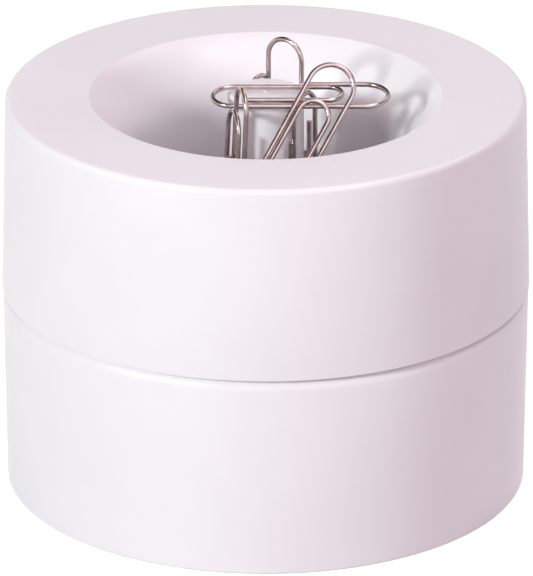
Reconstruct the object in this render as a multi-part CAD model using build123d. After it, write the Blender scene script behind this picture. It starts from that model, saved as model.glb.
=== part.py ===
"""A magnetic paper clip holder, in millimetres, standing on z = 0 with its axis on Z.

A round cup holds the stock of clips. A ring with a funnel in its top sits on the cup and lifts off.
A post with a magnet in its top stands in the middle, and wire clips hang on it and on each other.
"""
import os
from math import asin, cos, radians, sin, tan

from build123d import *

# Body, outside
BODY_DIA = 73.0
BODY_HEIGHT = 56.0
SEAM_HEIGHT = 28.7
RING_DRAFT = 0.7
RING_OVERHANG = 0.12
CUP_DRAFT = 0.36
SHOULDER_RADIUS = 1.8
FOOT_RADIUS = 0.6
RIM_RADIUS = 0.4

# Funnel in the top of the ring
MOUTH_DIA = 48.6
THROAT_DIA = 37.4
MOUTH_SLOPE_ANGLE = 60.0
THROAT_LENGTH = 10.0
MOUTH_RADIUS = 0.25

# Walls, floor and the collar that the ring sits round
SHELL_WALL = 2.2
FLOOR_THICKNESS = 2.4
FLOOR_RADIUS = 2.0
FOOT_BAND = 5.0
FOOT_RECESS = 0.6
COLLAR_HEIGHT = 6.0
COLLAR_WALL = 1.8
COLLAR_TAPER = 5.0
COLLAR_RADIUS = 0.5
SLIDE_GAP = 0.15

# Post, its socket and what is inside it
POST_DIA = 10.5
POST_PROUD = 0.4
POST_WALL = 1.1
POST_CAP = 1.2
POST_RADIUS = 0.35
GATE_DIA = 0.6
GATE_HEIGHT = 0.45
SOCKET_DEPTH = 8.0
SOCKET_WALL = 1.8
SEAT_GAP = 0.05
MAGNET_LENGTH = 20.0
MAGNET_CHAMFER = 0.3

# Paper clips, bent from round wire, and the gap that stands for their touching
WIRE_DIA = 0.7
CLIP_LENGTH = 24.7
CLIP_WIDTH = 7.0
LEG_PITCH = 0.76
CLIP_GAP = 0.12

# Plain clips: where the inner loop lies, where the wire's ends stop, and the step of the right legs
PLAIN_SET_BACK = 5.0
PLAIN_OUTER_SHORT = 15.5
PLAIN_INNER_SHORT = 7.0
PLAIN_PITCH = 1.3

# Lying clip: it rests on the post's top with its inner front leg, its front edge a little lower
LYING_TILT_ANGLE = 7.3
LYING_REACH = 16.75
LYING_INSET = 0.75
LYING_SET_BACK = 6.3
LYING_OUTER_SHORT = 11.8
LYING_INNER_SHORT = 4.0
LYING_PITCH = 1.75

# Leaning clip: it leans back on the lying clip's front wire and is rolled to the right
LEANING_LEAN_ANGLE = 31.0
LEANING_ROLL_ANGLE = 28.5
LEANING_SIDE = 10.35
LEANING_RISE = 5.15
LEANING_SET_BACK = 5.65
LEANING_OUTER_SHORT = 6.0
LEANING_INNER_SHORT = 5.0
LEANING_PITCH = 1.2

# Front and left clips: they hang in front of the lying clip's front wire
FRONT_TURN_ANGLE = 104.0
FRONT_LEAN_ANGLE = -2.4
FRONT_SIDE = -3.13
FRONT_RISE = 4.0
LEFT_TURN_ANGLE = 105.0
LEFT_LEAN_ANGLE = -3.0
LEFT_SIDE = -4.15
LEFT_RISE = 0.8

# Tall, rear and right clips: they stand against the post
TALL_TURN_ANGLE = 145.0
TALL_SLIDE = 0.4
TALL_RISE = 5.7
REAR_TURN_ANGLE = 235.0
REAR_BEARING_ANGLE = 116.0
REAR_RISE = -0.6
RIGHT_TURN_ANGLE = 58.0
RIGHT_SLIDE = 0.45
RIGHT_RISE = 0.6
RIGHT_SET_BACK = 5.0
RIGHT_OUTER_SHORT = 6.05
RIGHT_INNER_SHORT = 4.45
RIGHT_PITCH = 1.5

ring_foot = BODY_DIA / 2
ring_top = ring_foot - RING_DRAFT
cup_shoulder = ring_foot - RING_OVERHANG
cup_foot = cup_shoulder - CUP_DRAFT
post_top = BODY_HEIGHT + POST_PROUD
post_bore = POST_DIA / 2 - POST_WALL
stand_off = POST_DIA / 2 + WIRE_DIA / 2 + CLIP_GAP
wire_step = WIRE_DIA + CLIP_GAP
half_width = (CLIP_WIDTH - WIRE_DIA) / 2
crown_to_crown = CLIP_LENGTH - WIRE_DIA


def turned(outline):
    """The solid that a closed outline of (radius, height) gives when it is turned about Z."""
    return revolve(Plane.XZ * outline, Axis.Z)


def rounded(outline, corner, radius):
    """An outline with one of its corners rounded."""
    return fillet(outline.vertices().sort_by_distance((*corner, 0))[0], radius)


def outer_ring(z):
    """Radius of the ring's outer face at a height: it narrows towards the rim."""
    rise = (z - SEAM_HEIGHT) / (BODY_HEIGHT - SEAM_HEIGHT)
    return ring_foot + (ring_top - ring_foot) * rise


def outer_cup(z):
    """Radius of the cup's outer face at a height: it narrows towards the foot."""
    return cup_foot + (cup_shoulder - cup_foot) * z / SEAM_HEIGHT


def make_funnel_ring():
    """Skirt, flat rim and flared funnel in one moulding."""
    mouth, throat = MOUTH_DIA / 2, THROAT_DIA / 2
    slope = radians(MOUTH_SLOPE_ANGLE)
    flare = (mouth - throat) / (1 - cos(slope))
    flare_under = flare - SHELL_WALL
    centre = throat + flare
    throat_top = BODY_HEIGHT - flare * sin(slope)
    throat_foot = throat_top - THROAT_LENGTH
    under = BODY_HEIGHT - SHELL_WALL
    under_slope = asin((under - throat_top) / flare_under)

    def on_flare(radius, angle):
        return (centre - radius * cos(angle), throat_top + radius * sin(angle))

    outer_foot = (outer_ring(SEAM_HEIGHT), SEAM_HEIGHT)
    outer_rim = (outer_ring(BODY_HEIGHT), BODY_HEIGHT)
    inner_rim = (mouth, BODY_HEIGHT)
    under_mouth = on_flare(flare_under, under_slope)
    outline = make_face([
        Line(outer_foot, outer_rim),
        Line(outer_rim, inner_rim),
        ThreePointArc(inner_rim, on_flare(flare, slope / 2), (throat, throat_top)),
        Polyline((throat, throat_top), (throat, throat_foot), (throat + SHELL_WALL, throat_foot),
                 (throat + SHELL_WALL, throat_top)),
        ThreePointArc((throat + SHELL_WALL, throat_top), on_flare(flare_under, under_slope / 2),
                      under_mouth),
        Polyline(under_mouth, (outer_ring(under) - SHELL_WALL, under),
                 (outer_ring(SEAM_HEIGHT) - SHELL_WALL, SEAM_HEIGHT), outer_foot),
    ])
    outline = rounded(outline, outer_rim, RIM_RADIUS)
    outline = rounded(outline, inner_rim, MOUTH_RADIUS)
    return turned(outline)


def make_base_cup():
    """Floor, wall with a rounded shoulder, collar for the ring and socket for the post."""
    collar_top = SEAM_HEIGHT + COLLAR_HEIGHT
    skirt_in = SHELL_WALL + SLIDE_GAP
    collar_in = outer_ring(collar_top) - skirt_in - COLLAR_WALL
    taper_foot = SEAM_HEIGHT - COLLAR_TAPER
    socket = POST_DIA / 2 + SEAT_GAP
    boss = socket + SOCKET_WALL
    socket_floor = FLOOR_THICKNESS
    boss_top = socket_floor + SOCKET_DEPTH
    recess = cup_foot - FOOT_BAND
    foot = (outer_cup(0), 0)
    shoulder = (outer_cup(SEAM_HEIGHT), SEAM_HEIGHT)
    collar_rim = (outer_ring(collar_top) - skirt_in, collar_top)
    floor_corner = (outer_cup(FLOOR_THICKNESS) - SHELL_WALL, FLOOR_THICKNESS)
    outline = make_face(Polyline(
        foot, shoulder, (outer_ring(SEAM_HEIGHT) - skirt_in, SEAM_HEIGHT), collar_rim,
        (collar_in, collar_top), (collar_in, SEAM_HEIGHT), (outer_cup(taper_foot) - SHELL_WALL, taper_foot),
        floor_corner, (boss, FLOOR_THICKNESS), (boss, boss_top), (socket, boss_top), (socket, socket_floor),
        (0, socket_floor), (0, FOOT_RECESS), (recess, FOOT_RECESS), (recess, 0), close=True))
    outline = rounded(outline, foot, FOOT_RADIUS)
    outline = rounded(outline, shoulder, SHOULDER_RADIUS)
    outline = rounded(outline, collar_rim, COLLAR_RADIUS)
    outline = rounded(outline, floor_corner, FLOOR_RADIUS)
    return turned(outline)


def make_magnet_post():
    """A hollow post, closed at the top, with the mark that its moulding gate left there."""
    post, gate = POST_DIA / 2, GATE_DIA / 2
    bore_top = post_top - POST_CAP
    edge = (post, post_top)
    outline = make_face(Polyline(
        (post_bore, FLOOR_THICKNESS), (post, FLOOR_THICKNESS), edge, (gate, post_top),
        (gate, post_top + GATE_HEIGHT), (0, post_top + GATE_HEIGHT), (0, bore_top), (post_bore, bore_top),
        close=True))
    return turned(rounded(outline, edge, POST_RADIUS))


def make_rod_magnet():
    """The rod magnet, up against the inside of the post's closed top."""
    top = post_top - POST_CAP
    rod = extrude(Pos(0, 0, top - MAGNET_LENGTH) * Circle(post_bore - SEAT_GAP), MAGNET_LENGTH)
    return chamfer(rod.edges().filter_by(GeomType.CIRCLE), MAGNET_CHAMFER)


def make_magnet_stopper():
    """The plastic rod that fills the post below the magnet and keeps it up."""
    length = post_top - POST_CAP - MAGNET_LENGTH - FLOOR_THICKNESS
    return extrude(Pos(0, 0, FLOOR_THICKNESS) * Circle(post_bore - SEAT_GAP), length)


def bend_clip(set_back, outer_short, inner_short, inner_pitch):
    """A clip lying flat, bent from one wire: three bends and four legs.

    Its first crown is at the origin and its length runs along -Y. The inner loop lies set_back from
    that crown. The wire's two ends stop outer_short and inner_short before the second crown, and
    inner_pitch is the step between the two legs on the right.
    """
    left_in = LEG_PITCH - half_width
    right_in = half_width - inner_pitch
    second = (half_width - left_in) / 2
    third = (right_in - left_in) / 2
    second_y = second - crown_to_crown
    third_y = -set_back - third
    start = (-half_width, outer_short - crown_to_crown)
    path = Wire([
        Line(start, (-half_width, -half_width)),
        ThreePointArc((-half_width, -half_width), (0, 0), (half_width, -half_width)),
        Line((half_width, -half_width), (half_width, second_y)),
        ThreePointArc((half_width, second_y), (half_width - second, -crown_to_crown), (left_in, second_y)),
        Line((left_in, second_y), (left_in, third_y)),
        ThreePointArc((left_in, third_y), (left_in + third, -set_back), (right_in, third_y)),
        Line((right_in, third_y), (right_in, inner_short - crown_to_crown)),
    ])
    section = Plane(origin=(*start, 0), z_dir=(0, 1, 0)) * Circle(WIRE_DIA / 2)
    return sweep(section, path=path)


def other_end_up(clip):
    """A flat clip turned over end for end, with its second crown at the level of the origin."""
    return Pos(0, -crown_to_crown, 0) * Rot(180, 0, 0) * clip


def stand(clip, crown, turn, lean=0.0, roll=0.0):
    """A flat clip stood up with its crown at a point, turned about Z, leaned back and rolled."""
    return Pos(*crown) * Rot(0, 0, turn) * Rot(90 - lean, 0, 0) * Rot(0, 0, -roll) * clip


lying_cos, lying_sin = cos(radians(LYING_TILT_ANGLE)), sin(radians(LYING_TILT_ANGLE))
rest_y = LYING_INSET - POST_DIA / 2
rest_z = post_top + WIRE_DIA / 2 + CLIP_GAP
front_wire_y = rest_y - LYING_PITCH * lying_cos
front_wire_z = rest_z - LYING_PITCH * lying_sin


def make_lying_clip():
    """The clip across the post's top, with its first crown to the right."""
    crown = (LYING_REACH, front_wire_y + half_width * lying_cos, front_wire_z + half_width * lying_sin)
    clip = bend_clip(LYING_SET_BACK, LYING_OUTER_SHORT, LYING_INNER_SHORT, LYING_PITCH)
    return Pos(*crown) * Rot(LYING_TILT_ANGLE, 0, 0) * Rot(0, 0, -90) * clip


def make_leaning_clip():
    """The clip that leans back on the lying clip's front wire."""
    lean = radians(LEANING_LEAN_ANGLE)
    crown_z = post_top + LEANING_RISE
    crown_y = front_wire_y - wire_step / cos(lean) + (crown_z - front_wire_z) * tan(lean)
    clip = bend_clip(LEANING_SET_BACK, LEANING_OUTER_SHORT, LEANING_INNER_SHORT, LEANING_PITCH)
    crown = (LEANING_SIDE, crown_y, crown_z)
    return stand(clip, crown, turn=0.0, lean=LEANING_LEAN_ANGLE, roll=LEANING_ROLL_ANGLE)


def plain_clip():
    """A clip with its second crown up, as most of them hang."""
    return other_end_up(bend_clip(PLAIN_SET_BACK, PLAIN_OUTER_SHORT, PLAIN_INNER_SHORT, PLAIN_PITCH))


def hang_clip(clip, turn, lean, side, rise):
    """A clip hung nearly upright, with its long right leg just in front of the lying clip's front wire."""
    crown_y = front_wire_y - wire_step - half_width * sin(radians(turn))
    return stand(clip, (side, crown_y, post_top + rise), turn=turn, lean=lean)


def clip_on_post(clip, turn, slide, rise):
    """A clip standing upright and flat against the post, slid along its own width."""
    turn_cos, turn_sin = cos(radians(turn)), sin(radians(turn))
    crown_x = stand_off * turn_sin + slide * turn_cos
    crown_y = slide * turn_sin - stand_off * turn_cos
    return stand(clip, (crown_x, crown_y, post_top + rise), turn=turn)


def clip_off_post(clip, turn, bearing, rise):
    """A clip standing upright with only its long right leg against the post, at a bearing from +X."""
    crown_x = stand_off * cos(radians(bearing)) - half_width * cos(radians(turn))
    crown_y = stand_off * sin(radians(bearing)) - half_width * sin(radians(turn))
    return stand(clip, (crown_x, crown_y, post_top + rise), turn=turn)


def make_right_clip():
    """The clip against the right front of the post, with both wire ends close below its upper crown."""
    clip = bend_clip(RIGHT_SET_BACK, RIGHT_OUTER_SHORT, RIGHT_INNER_SHORT, RIGHT_PITCH)
    return clip_on_post(other_end_up(clip), RIGHT_TURN_ANGLE, RIGHT_SLIDE, RIGHT_RISE)


pieces = {
    "base_cup": make_base_cup(),
    "funnel_ring": make_funnel_ring(),
    "magnet_post": make_magnet_post(),
    "rod_magnet": make_rod_magnet(),
    "magnet_stopper": make_magnet_stopper(),
    "paper_clip_lying": make_lying_clip(),
    "paper_clip_leaning": make_leaning_clip(),
    "paper_clip_front": hang_clip(plain_clip(), FRONT_TURN_ANGLE, FRONT_LEAN_ANGLE, FRONT_SIDE, FRONT_RISE),
    "paper_clip_left": hang_clip(plain_clip(), LEFT_TURN_ANGLE, LEFT_LEAN_ANGLE, LEFT_SIDE, LEFT_RISE),
    "paper_clip_tall": clip_on_post(plain_clip(), TALL_TURN_ANGLE, TALL_SLIDE, TALL_RISE),
    "paper_clip_rear": clip_off_post(plain_clip(), REAR_TURN_ANGLE, REAR_BEARING_ANGLE, REAR_RISE),
    "paper_clip_right": make_right_clip(),
}

os.makedirs("parts", exist_ok=True)
for name, piece in pieces.items():
    export_step(piece, f"parts/{name}.step")
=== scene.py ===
"""Looks of a magnetic paper clip holder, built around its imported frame, in metres."""
import math

import bmesh
import bpy
from mathutils import Matrix, Vector


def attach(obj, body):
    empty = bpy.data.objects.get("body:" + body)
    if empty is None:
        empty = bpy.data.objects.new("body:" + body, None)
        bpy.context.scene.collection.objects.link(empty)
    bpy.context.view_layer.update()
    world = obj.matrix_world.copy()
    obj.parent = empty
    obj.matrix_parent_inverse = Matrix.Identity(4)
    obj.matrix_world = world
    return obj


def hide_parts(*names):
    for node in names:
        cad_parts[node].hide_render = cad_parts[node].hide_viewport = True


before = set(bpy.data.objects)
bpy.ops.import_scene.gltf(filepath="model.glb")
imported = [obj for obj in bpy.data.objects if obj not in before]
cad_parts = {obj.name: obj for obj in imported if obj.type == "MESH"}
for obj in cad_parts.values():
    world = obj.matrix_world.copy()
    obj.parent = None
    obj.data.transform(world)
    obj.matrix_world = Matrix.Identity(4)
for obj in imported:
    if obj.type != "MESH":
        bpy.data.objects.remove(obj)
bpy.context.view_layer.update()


# Base cup
# The lower shell, moulded in white polystyrene: floor, wall with a rounded shoulder, a collar that the
# ring sits round, and a socket for the post. It stands on a flat band round a shallow recess.
mm = 0.001
TURN_SIDES = 288
SHARP_ANGLE = math.radians(32)
ON_AXIS = 1e-7


def round_corner(before, corner, after, radius, steps):
    """Points of the arc that rounds one corner of an outline."""
    corner = Vector(corner)
    into = (Vector(before) - corner).normalized()
    out = (Vector(after) - corner).normalized()
    half = into.angle(out) / 2
    centre = corner + (into + out).normalized() * radius / math.sin(half)
    first = corner + into * radius / math.tan(half) - centre
    last = corner + out * radius / math.tan(half) - centre
    sweep = first.angle_signed(last)
    return [centre + Matrix.Rotation(-sweep * step / steps, 2) @ first for step in range(steps + 1)]


def rounded_outline(corners, steps=7):
    """A closed outline of (radius, height), from corners given as (radius, height, rounding)."""
    points = []
    for index, (radius, height, rounding) in enumerate(corners):
        before = corners[index - 1][:2]
        after = corners[(index + 1) % len(corners)][:2]
        if rounding:
            points += round_corner(before, (radius, height), after, rounding, steps)
        else:
            points.append(Vector((radius, height)))
    return points


def turned(name, outline):
    """The mesh that a closed outline gives when it is turned about Z, with its outer side outwards."""
    mesh = bmesh.new()
    rings = []
    for point in outline:
        if point.x < ON_AXIS:
            rings.append([mesh.verts.new((0, 0, point.y))] * TURN_SIDES)
            continue
        ring = []
        for side in range(TURN_SIDES):
            angle = math.tau * side / TURN_SIDES
            ring.append(mesh.verts.new((point.x * math.cos(angle), point.x * math.sin(angle), point.y)))
        rings.append(ring)
    for index, ring in enumerate(rings):
        following = rings[(index + 1) % len(rings)]
        for side in range(TURN_SIDES):
            beside = (side + 1) % TURN_SIDES
            corners = [ring[side], ring[beside], following[beside], following[side]]
            distinct = list(dict.fromkeys(corners))
            if len(distinct) > 2:
                mesh.faces.new(distinct)
    bmesh.ops.recalc_face_normals(mesh, faces=mesh.faces)
    data = bpy.data.meshes.new(name)
    mesh.to_mesh(data)
    mesh.free()
    data.shade_smooth()
    data.set_sharp_from_angle(angle=SHARP_ANGLE)
    piece = bpy.data.objects.new(name, data)
    bpy.context.scene.collection.objects.link(piece)
    return piece


class Value:
    """A shader value. Sums on it add Math nodes, and node() adds any other node to its material."""

    def __init__(self, tree, socket=None):
        self.tree = tree
        self.socket = socket

    def node(self, kind, settings, inputs, output=0):
        made = self.tree.nodes.new(kind)
        for name, setting in settings.items():
            setattr(made, name, setting)
        for name, value in inputs.items():
            if isinstance(value, Value):
                self.tree.links.new(value.socket, made.inputs[name])
            else:
                made.inputs[name].default_value = value
        return Value(self.tree, made.outputs[output])

    def maths(self, operation, first, second=0.0):
        return self.node("ShaderNodeMath", {"operation": operation}, {0: first, 1: second})

    def __add__(self, other):
        return self.maths("ADD", self, other)

    def __sub__(self, other):
        return self.maths("SUBTRACT", self, other)

    def __rsub__(self, other):
        return self.maths("SUBTRACT", other, self)

    def __mul__(self, other):
        return self.maths("MULTIPLY", self, other)

    __radd__ = __add__
    __rmul__ = __mul__

    def between(self, low, high):
        """0 below low, 1 above high and a smooth rise from one to the other."""
        settings = {"interpolation_type": "SMOOTHSTEP"}
        return self.node("ShaderNodeMapRange", settings, {"Value": self, "From Min": low, "From Max": high})


def new_material(name):
    """A material with only its shader and output, and the value that its nodes are added from."""
    material = bpy.data.materials.new(name)
    material.use_nodes = True
    return material, Value(material.node_tree)


def mixed(start, share, first, second):
    """A colour that goes from the first to the second with share."""
    settings = {"data_type": "RGBA"}
    inputs = {"Factor": share, 6: first, 7: second}
    return start.node("ShaderNodeMix", settings, inputs, output=2)


def noise(start, place, scale, detail, roughness=0.5):
    """Soft noise between 0 and 1 at a scale in repeats per metre."""
    inputs = {"Vector": place, "Scale": scale, "Detail": detail, "Roughness": roughness}
    return start.node("ShaderNodeTexNoise", {}, inputs)


def set_shader(material, **inputs):
    """Sets or links the sockets of a material's shader. An underscore in a name stands for a space."""
    shader = material.node_tree.nodes["Principled BSDF"]
    for name, value in inputs.items():
        socket = shader.inputs[name.replace("_", " ")]
        if isinstance(value, Value):
            material.node_tree.links.new(value.socket, socket)
        else:
            socket.default_value = value


WHITE_LIGHT = (0.91, 0.896, 0.915, 1.0)
WHITE_DEEP = (0.89, 0.874, 0.893, 1.0)
SCUFF_GREY = (0.62, 0.60, 0.61, 1.0)


def white_plastic(name, gloss):
    """White moulded plastic: satin grain, faintly cloudy resin, hairline rubs, and scuffs on the foot."""
    material, start = new_material(name)
    place = start.node("ShaderNodeTexCoord", {}, {}, output="Object")
    height = start.node("ShaderNodeSeparateXYZ", {}, {"Vector": place}, output="Z")
    cloud = noise(start, place, 55.0, 4.0)
    grain = noise(start, place, 5200.0, 2.0)
    stretch = start.node("ShaderNodeMapping", {}, {"Vector": place, "Scale": (60.0, 60.0, 2600.0)})
    rubs = noise(start, stretch, 1.0, 3.0, 0.62).between(0.5, 0.8)
    foot = 1 - height.between(0.02 * mm, 0.15 * mm)
    scuffs = foot * noise(start, place, 900.0, 4.0, 0.7).between(0.45, 0.7)
    resin = mixed(start, cloud.between(0.3, 0.7), WHITE_LIGHT, WHITE_DEEP)
    colour = mixed(start, scuffs * 0.35, resin, SCUFF_GREY)
    relief = grain + rubs * 0.3
    bump = start.node("ShaderNodeBump", {}, {"Height": relief, "Strength": 0.08, "Distance": 0.02 * mm})
    set_shader(material, Base_Color=colour, Roughness=gloss + rubs * 0.03 + cloud * 0.05,
               Normal=bump, IOR=1.52, Specular_IOR_Level=0.5)
    return material


SEAM_HEIGHT = 28.7
SHELL_WALL = 2.2
SLIDE_GAP = 0.15
SKIRT_IN = SHELL_WALL + SLIDE_GAP
RING_FOOT = 36.5
RING_TOP = 35.8
RIM_HEIGHT = 56.0
CUP_FOOT = 36.02
CUP_SHOULDER = 36.38
FLOOR = 2.4
COLLAR_TOP = 34.7
COLLAR_WALL = 1.8
COLLAR_TAPER = 5.0
SOCKET = 5.3
SOCKET_WALL = 1.8
SOCKET_DEPTH = 8.0
SOCKET_TOP = FLOOR + SOCKET_DEPTH
FOOT_BAND = 5.0
FOOT_RECESS = 0.6
FOOT_ROUNDING = 0.35
SHOULDER_ROUNDING = 1.8
FLOOR_ROUNDING = 2.0


def ring_radius(height):
    """Radius of the ring's drafted outer face at a height, in millimetres."""
    return RING_FOOT + (RING_TOP - RING_FOOT) * (height - SEAM_HEIGHT) / (RIM_HEIGHT - SEAM_HEIGHT)


def cup_radius(height):
    """Radius of the cup's drafted outer face at a height, in millimetres."""
    return CUP_FOOT + (CUP_SHOULDER - CUP_FOOT) * height / SEAM_HEIGHT


def in_metres(corners):
    """Corners of an outline in millimetres, changed to metres."""
    return [tuple(value * mm for value in corner) for corner in corners]


collar_out = ring_radius(COLLAR_TOP) - SKIRT_IN
collar_in = collar_out - COLLAR_WALL
boss = SOCKET + SOCKET_WALL
taper_foot = SEAM_HEIGHT - COLLAR_TAPER
cup_outline = rounded_outline(in_metres([
    (CUP_FOOT, 0, FOOT_ROUNDING), (CUP_SHOULDER, SEAM_HEIGHT, SHOULDER_ROUNDING),
    (RING_FOOT - SKIRT_IN, SEAM_HEIGHT, 0.12), (collar_out, COLLAR_TOP, 0.5),
    (collar_in, COLLAR_TOP, 0.25), (collar_in, SEAM_HEIGHT, 0.8),
    (cup_radius(taper_foot) - SHELL_WALL, taper_foot, 0.8),
    (cup_radius(FLOOR) - SHELL_WALL, FLOOR, FLOOR_ROUNDING),
    (boss, FLOOR, 0.6), (boss, SOCKET_TOP, 0.3), (SOCKET, SOCKET_TOP, 0.15), (SOCKET, FLOOR, 0),
    (0, FLOOR, 0), (0, FOOT_RECESS, 0), (CUP_FOOT - FOOT_BAND, FOOT_RECESS, 0.2),
    (CUP_FOOT - FOOT_BAND, 0, 0.2),
]))
base_cup = turned("base_cup_shell", cup_outline)
shell_white = white_plastic("satin_white_shell", gloss=0.29)
base_cup.data.materials.append(shell_white)
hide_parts("base_cup")
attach(base_cup, "base")


# Rod magnet and its stopper
# A dark sintered ferrite rod sits up against the post's closed top, where it pulls the clips. A plain
# plastic rod below it fills the hollow post and keeps it there. Both stay hidden in the post.
FERRITE_DARK = (0.05, 0.05, 0.054, 1.0)
FERRITE_CHIPPED = (0.16, 0.16, 0.165, 1.0)


def ferrite(name):
    """Dark sintered ferrite with a fine grain and paler chipped spots."""
    material, start = new_material(name)
    place = start.node("ShaderNodeTexCoord", {}, {}, output="Object")
    grain = noise(start, place, 2600.0, 5.0, 0.65)
    chips = noise(start, place, 700.0, 2.0).between(0.66, 0.72)
    colour = mixed(start, chips, FERRITE_DARK, FERRITE_CHIPPED)
    bump = start.node("ShaderNodeBump", {}, {"Height": grain, "Strength": 0.4, "Distance": 0.05 * mm})
    set_shader(material, Base_Color=colour, Roughness=0.45 + grain * 0.2, Normal=bump, Metallic=0.2)
    return material


def dress(node, material):
    """Gives a carried-over node its material."""
    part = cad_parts[node]
    part.data.materials.clear()
    part.data.materials.append(material)


dress("rod_magnet", ferrite("dark_ferrite"))
dress("magnet_stopper", white_plastic("plain_stopper_plastic", gloss=0.5))


# Magnet post
# A slim hollow post of the same white plastic, pressed into the cup's socket. Its closed top is polished
# by the clips that slide on it, and the moulding gate left a small nub in the middle.
POST = 5.25
POST_BORE = 4.15
POST_TOP = 56.4
POST_CAP = 1.2
GATE = 0.3
GATE_HEIGHT = 0.45
GATE_TOP = POST_TOP + GATE_HEIGHT
post_outline = rounded_outline(in_metres([
    (POST_BORE, FLOOR, 0), (POST, FLOOR, 0.2), (POST, POST_TOP, 0.35), (GATE, POST_TOP, 0.1),
    (GATE, GATE_TOP, 0.15), (0, GATE_TOP, 0), (0, POST_TOP - POST_CAP, 0),
    (POST_BORE, POST_TOP - POST_CAP, 0),
]))
magnet_post = turned("magnet_post_tube", post_outline)
magnet_post.data.materials.append(white_plastic("polished_white_post", gloss=0.2))
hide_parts("magnet_post")
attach(magnet_post, "base")


# Funnel ring
# The upper shell, one white moulding: a skirt that slips over the cup's collar, a flat rim, and a horn
# that curves down from the mouth to a straight throat round the post. It lifts off for filling.
MOUTH = 24.3
THROAT = 18.7
MOUTH_SLOPE = math.radians(60)
THROAT_LENGTH = 10.0
HORN_STEPS = 36
RIM_ROUNDING = 0.85
MOUTH_ROUNDING = 0.5
flare = (MOUTH - THROAT) / (1 - math.cos(MOUTH_SLOPE))
flare_under = flare - SHELL_WALL
flare_centre = THROAT + flare
throat_top = RIM_HEIGHT - flare * math.sin(MOUTH_SLOPE)
throat_foot = throat_top - THROAT_LENGTH
under_rim = RIM_HEIGHT - SHELL_WALL
under_slope = math.asin((under_rim - throat_top) / flare_under)


def horn(radius, first, last):
    """Corners along the horn's curve, from one slope angle to another."""
    corners = []
    for step in range(1, HORN_STEPS):
        angle = first + (last - first) * step / HORN_STEPS
        corners.append((flare_centre - radius * math.cos(angle), throat_top + radius * math.sin(angle), 0))
    return corners


ring_outline = rounded_outline(in_metres([
    (RING_FOOT, SEAM_HEIGHT, 0.05), (RING_TOP, RIM_HEIGHT, RIM_ROUNDING),
    (MOUTH, RIM_HEIGHT, MOUTH_ROUNDING),
    *horn(flare, MOUTH_SLOPE, 0),
    (THROAT, throat_top, 0), (THROAT, throat_foot, 0.5), (THROAT + SHELL_WALL, throat_foot, 0.5),
    (THROAT + SHELL_WALL, throat_top, 0),
    *horn(flare_under, 0, under_slope),
    (flare_centre - flare_under * math.cos(under_slope), under_rim, 0.3),
    (ring_radius(under_rim) - SHELL_WALL, under_rim, 0.8), (RING_FOOT - SHELL_WALL, SEAM_HEIGHT, 0.3),
]))
funnel_ring = turned("funnel_ring_shell", ring_outline)
funnel_ring.data.materials.append(shell_white)
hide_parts("funnel_ring")
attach(funnel_ring, "ring")


# Paper clips
# Small office clips, each bent from one round steel wire and nickel-plated. The magnet holds them on the
# post and on each other: one lies on the post, one leans on it, and the others stand round it.
NICKEL_BRIGHT = (0.58, 0.49, 0.47, 1.0)
NICKEL_TARNISHED = (0.45, 0.365, 0.35, 1.0)


def nickel_wire(name):
    """Bright nickel on drawn steel wire: a fine grain, and a darker, warm tarnish in patches."""
    material, start = new_material(name)
    place = start.node("ShaderNodeTexCoord", {}, {}, output="Object")
    tarnish = noise(start, place, 420.0, 3.0).between(0.4, 0.7)
    grain = noise(start, place, 3800.0, 3.0, 0.6)
    colour = mixed(start, tarnish, NICKEL_BRIGHT, NICKEL_TARNISHED)
    bump = start.node("ShaderNodeBump", {}, {"Height": grain, "Strength": 0.05, "Distance": 0.02 * mm})
    set_shader(material, Base_Color=colour, Metallic=1.0, Roughness=0.15 + tarnish * 0.06 + grain * 0.04,
               Normal=bump)
    return material


bright_nickel = nickel_wire("bright_nickel_wire")
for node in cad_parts:
    if node.startswith("paper_clip"):
        dress(node, bright_nickel)


# Floor, light and camera
# A pale sheet under the holder, a key low on the front left like a window, and soft lamps above the
# camera, on the right, behind and overhead. The camera stands where the photograph was taken from.
def look_along(thing, place, direction):
    """Puts a light or camera at a place, looking along a direction."""
    thing.location = place
    thing.rotation_mode = "QUATERNION"
    thing.rotation_quaternion = direction.to_track_quat("-Z", "Y")
    bpy.context.scene.collection.objects.link(thing)


LAMP_AIM = Vector((0, 0, 0.04))


def lamp(name, azimuth, elevation, distance, size, power, colour):
    """A round area lamp, placed by its bearing from the camera's side and its height in degrees."""
    light = bpy.data.lights.new(name, "AREA")
    light.shape = "DISK"
    light.size = size
    light.energy = power
    light.color = colour
    across, up = math.radians(azimuth), math.radians(elevation)
    towards = Vector((math.sin(across) * math.cos(up), -math.cos(across) * math.cos(up), math.sin(up)))
    look_along(bpy.data.objects.new(name, light), LAMP_AIM + towards * distance, -towards)


DAYLIGHT = (0.9, 1.0, 0.975)
ROOM_TINT = (1.0, 0.87, 0.94)
lamp("key", azimuth=-48, elevation=23, distance=1.0, size=0.15, power=6.0, colour=DAYLIGHT)
lamp("front_fill", azimuth=20, elevation=42, distance=0.9, size=1.0, power=3.6, colour=ROOM_TINT)
lamp("right_fill", azimuth=58, elevation=66, distance=0.8, size=0.4, power=1.35, colour=ROOM_TINT)
lamp("back_fill", azimuth=150, elevation=52, distance=0.9, size=0.6, power=1.5, colour=ROOM_TINT)
lamp("top_fill", azimuth=0, elevation=89, distance=0.8, size=0.9, power=0.8, colour=ROOM_TINT)

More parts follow.
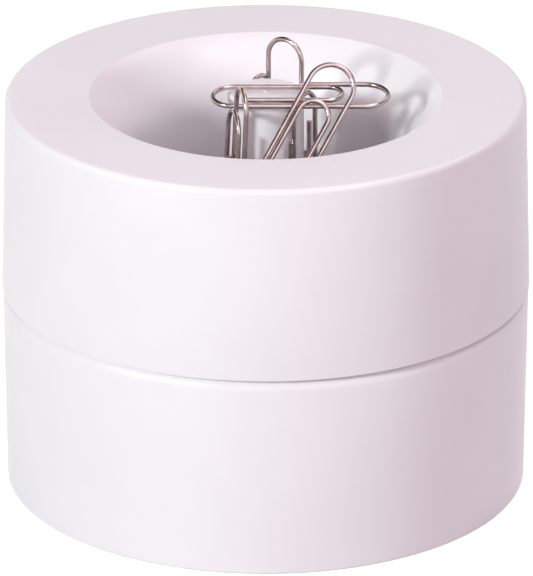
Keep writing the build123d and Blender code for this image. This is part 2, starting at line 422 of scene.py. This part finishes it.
FLOOR_SIZE = 4.0
bpy.ops.mesh.primitive_plane_add(size=FLOOR_SIZE)
floor = bpy.context.object
floor.name = "floor"
BLACK = (0.0, 0.0, 0.0, 1.0)
PAPER = (0.62, 0.56, 0.595, 1.0)
PAPER_GLOW = (0.72, 0.74, 0.73, 1.0)
paper, paper_start = new_material("pale_paper")


def background_rays(start):
    """1 for rays that show the background: the camera's own, and those that metal or glass sends on."""
    kinds = ["Is Camera Ray", "Is Glossy Ray", "Is Transmission Ray"]
    shown, mirrored, through = [start.node("ShaderNodeLightPath", {}, {}, output=kind) for kind in kinds]
    return shown.maths("MAXIMUM", shown.maths("MAXIMUM", shown, mirrored), through)


glow = mixed(paper_start, background_rays(paper_start), BLACK, PAPER_GLOW)
set_shader(paper, Base_Color=PAPER, Roughness=0.9, Emission_Color=glow, Emission_Strength=1.0)
floor.data.materials.append(paper)

world = bpy.data.worlds.new("room")
bpy.context.scene.world = world
world.use_nodes = True
room = Value(world.node_tree)
towards_sky = room.node("ShaderNodeTexCoord", {}, {})
upward = room.node("ShaderNodeSeparateXYZ", {}, {"Vector": towards_sky}, output="Z")
DIM_ROOM = (0.06, 0.042, 0.053, 1.0)
WHITE = (1.0, 1.0, 1.0, 1.0)
backdrop = background_rays(room) * (1 - upward.between(0.2, 0.6))
room_colour = mixed(room, backdrop, DIM_ROOM, WHITE)
world.node_tree.links.new(room_colour.socket, world.node_tree.nodes["Background"].inputs["Color"])

FOCAL_PIXELS = 8023.8
PICTURE_HEIGHT = 576
SENSOR = 36.0
CAMERA_DISTANCE = 1.1121
CAMERA_TILT = math.radians(22.484)
AIM = Vector((0.0000975, 0, 0.02722))
camera = bpy.data.cameras.new("camera")
camera.sensor_width = SENSOR
camera.lens = FOCAL_PIXELS / PICTURE_HEIGHT * SENSOR
camera.clip_start = 0.01
ahead = Vector((0, math.cos(CAMERA_TILT), -math.sin(CAMERA_TILT)))
viewer = bpy.data.objects.new("camera", camera)
look_along(viewer, AIM - ahead * CAMERA_DISTANCE, ahead)
bpy.context.scene.camera = viewer
bpy.context.scene.view_settings.view_transform = "Standard"
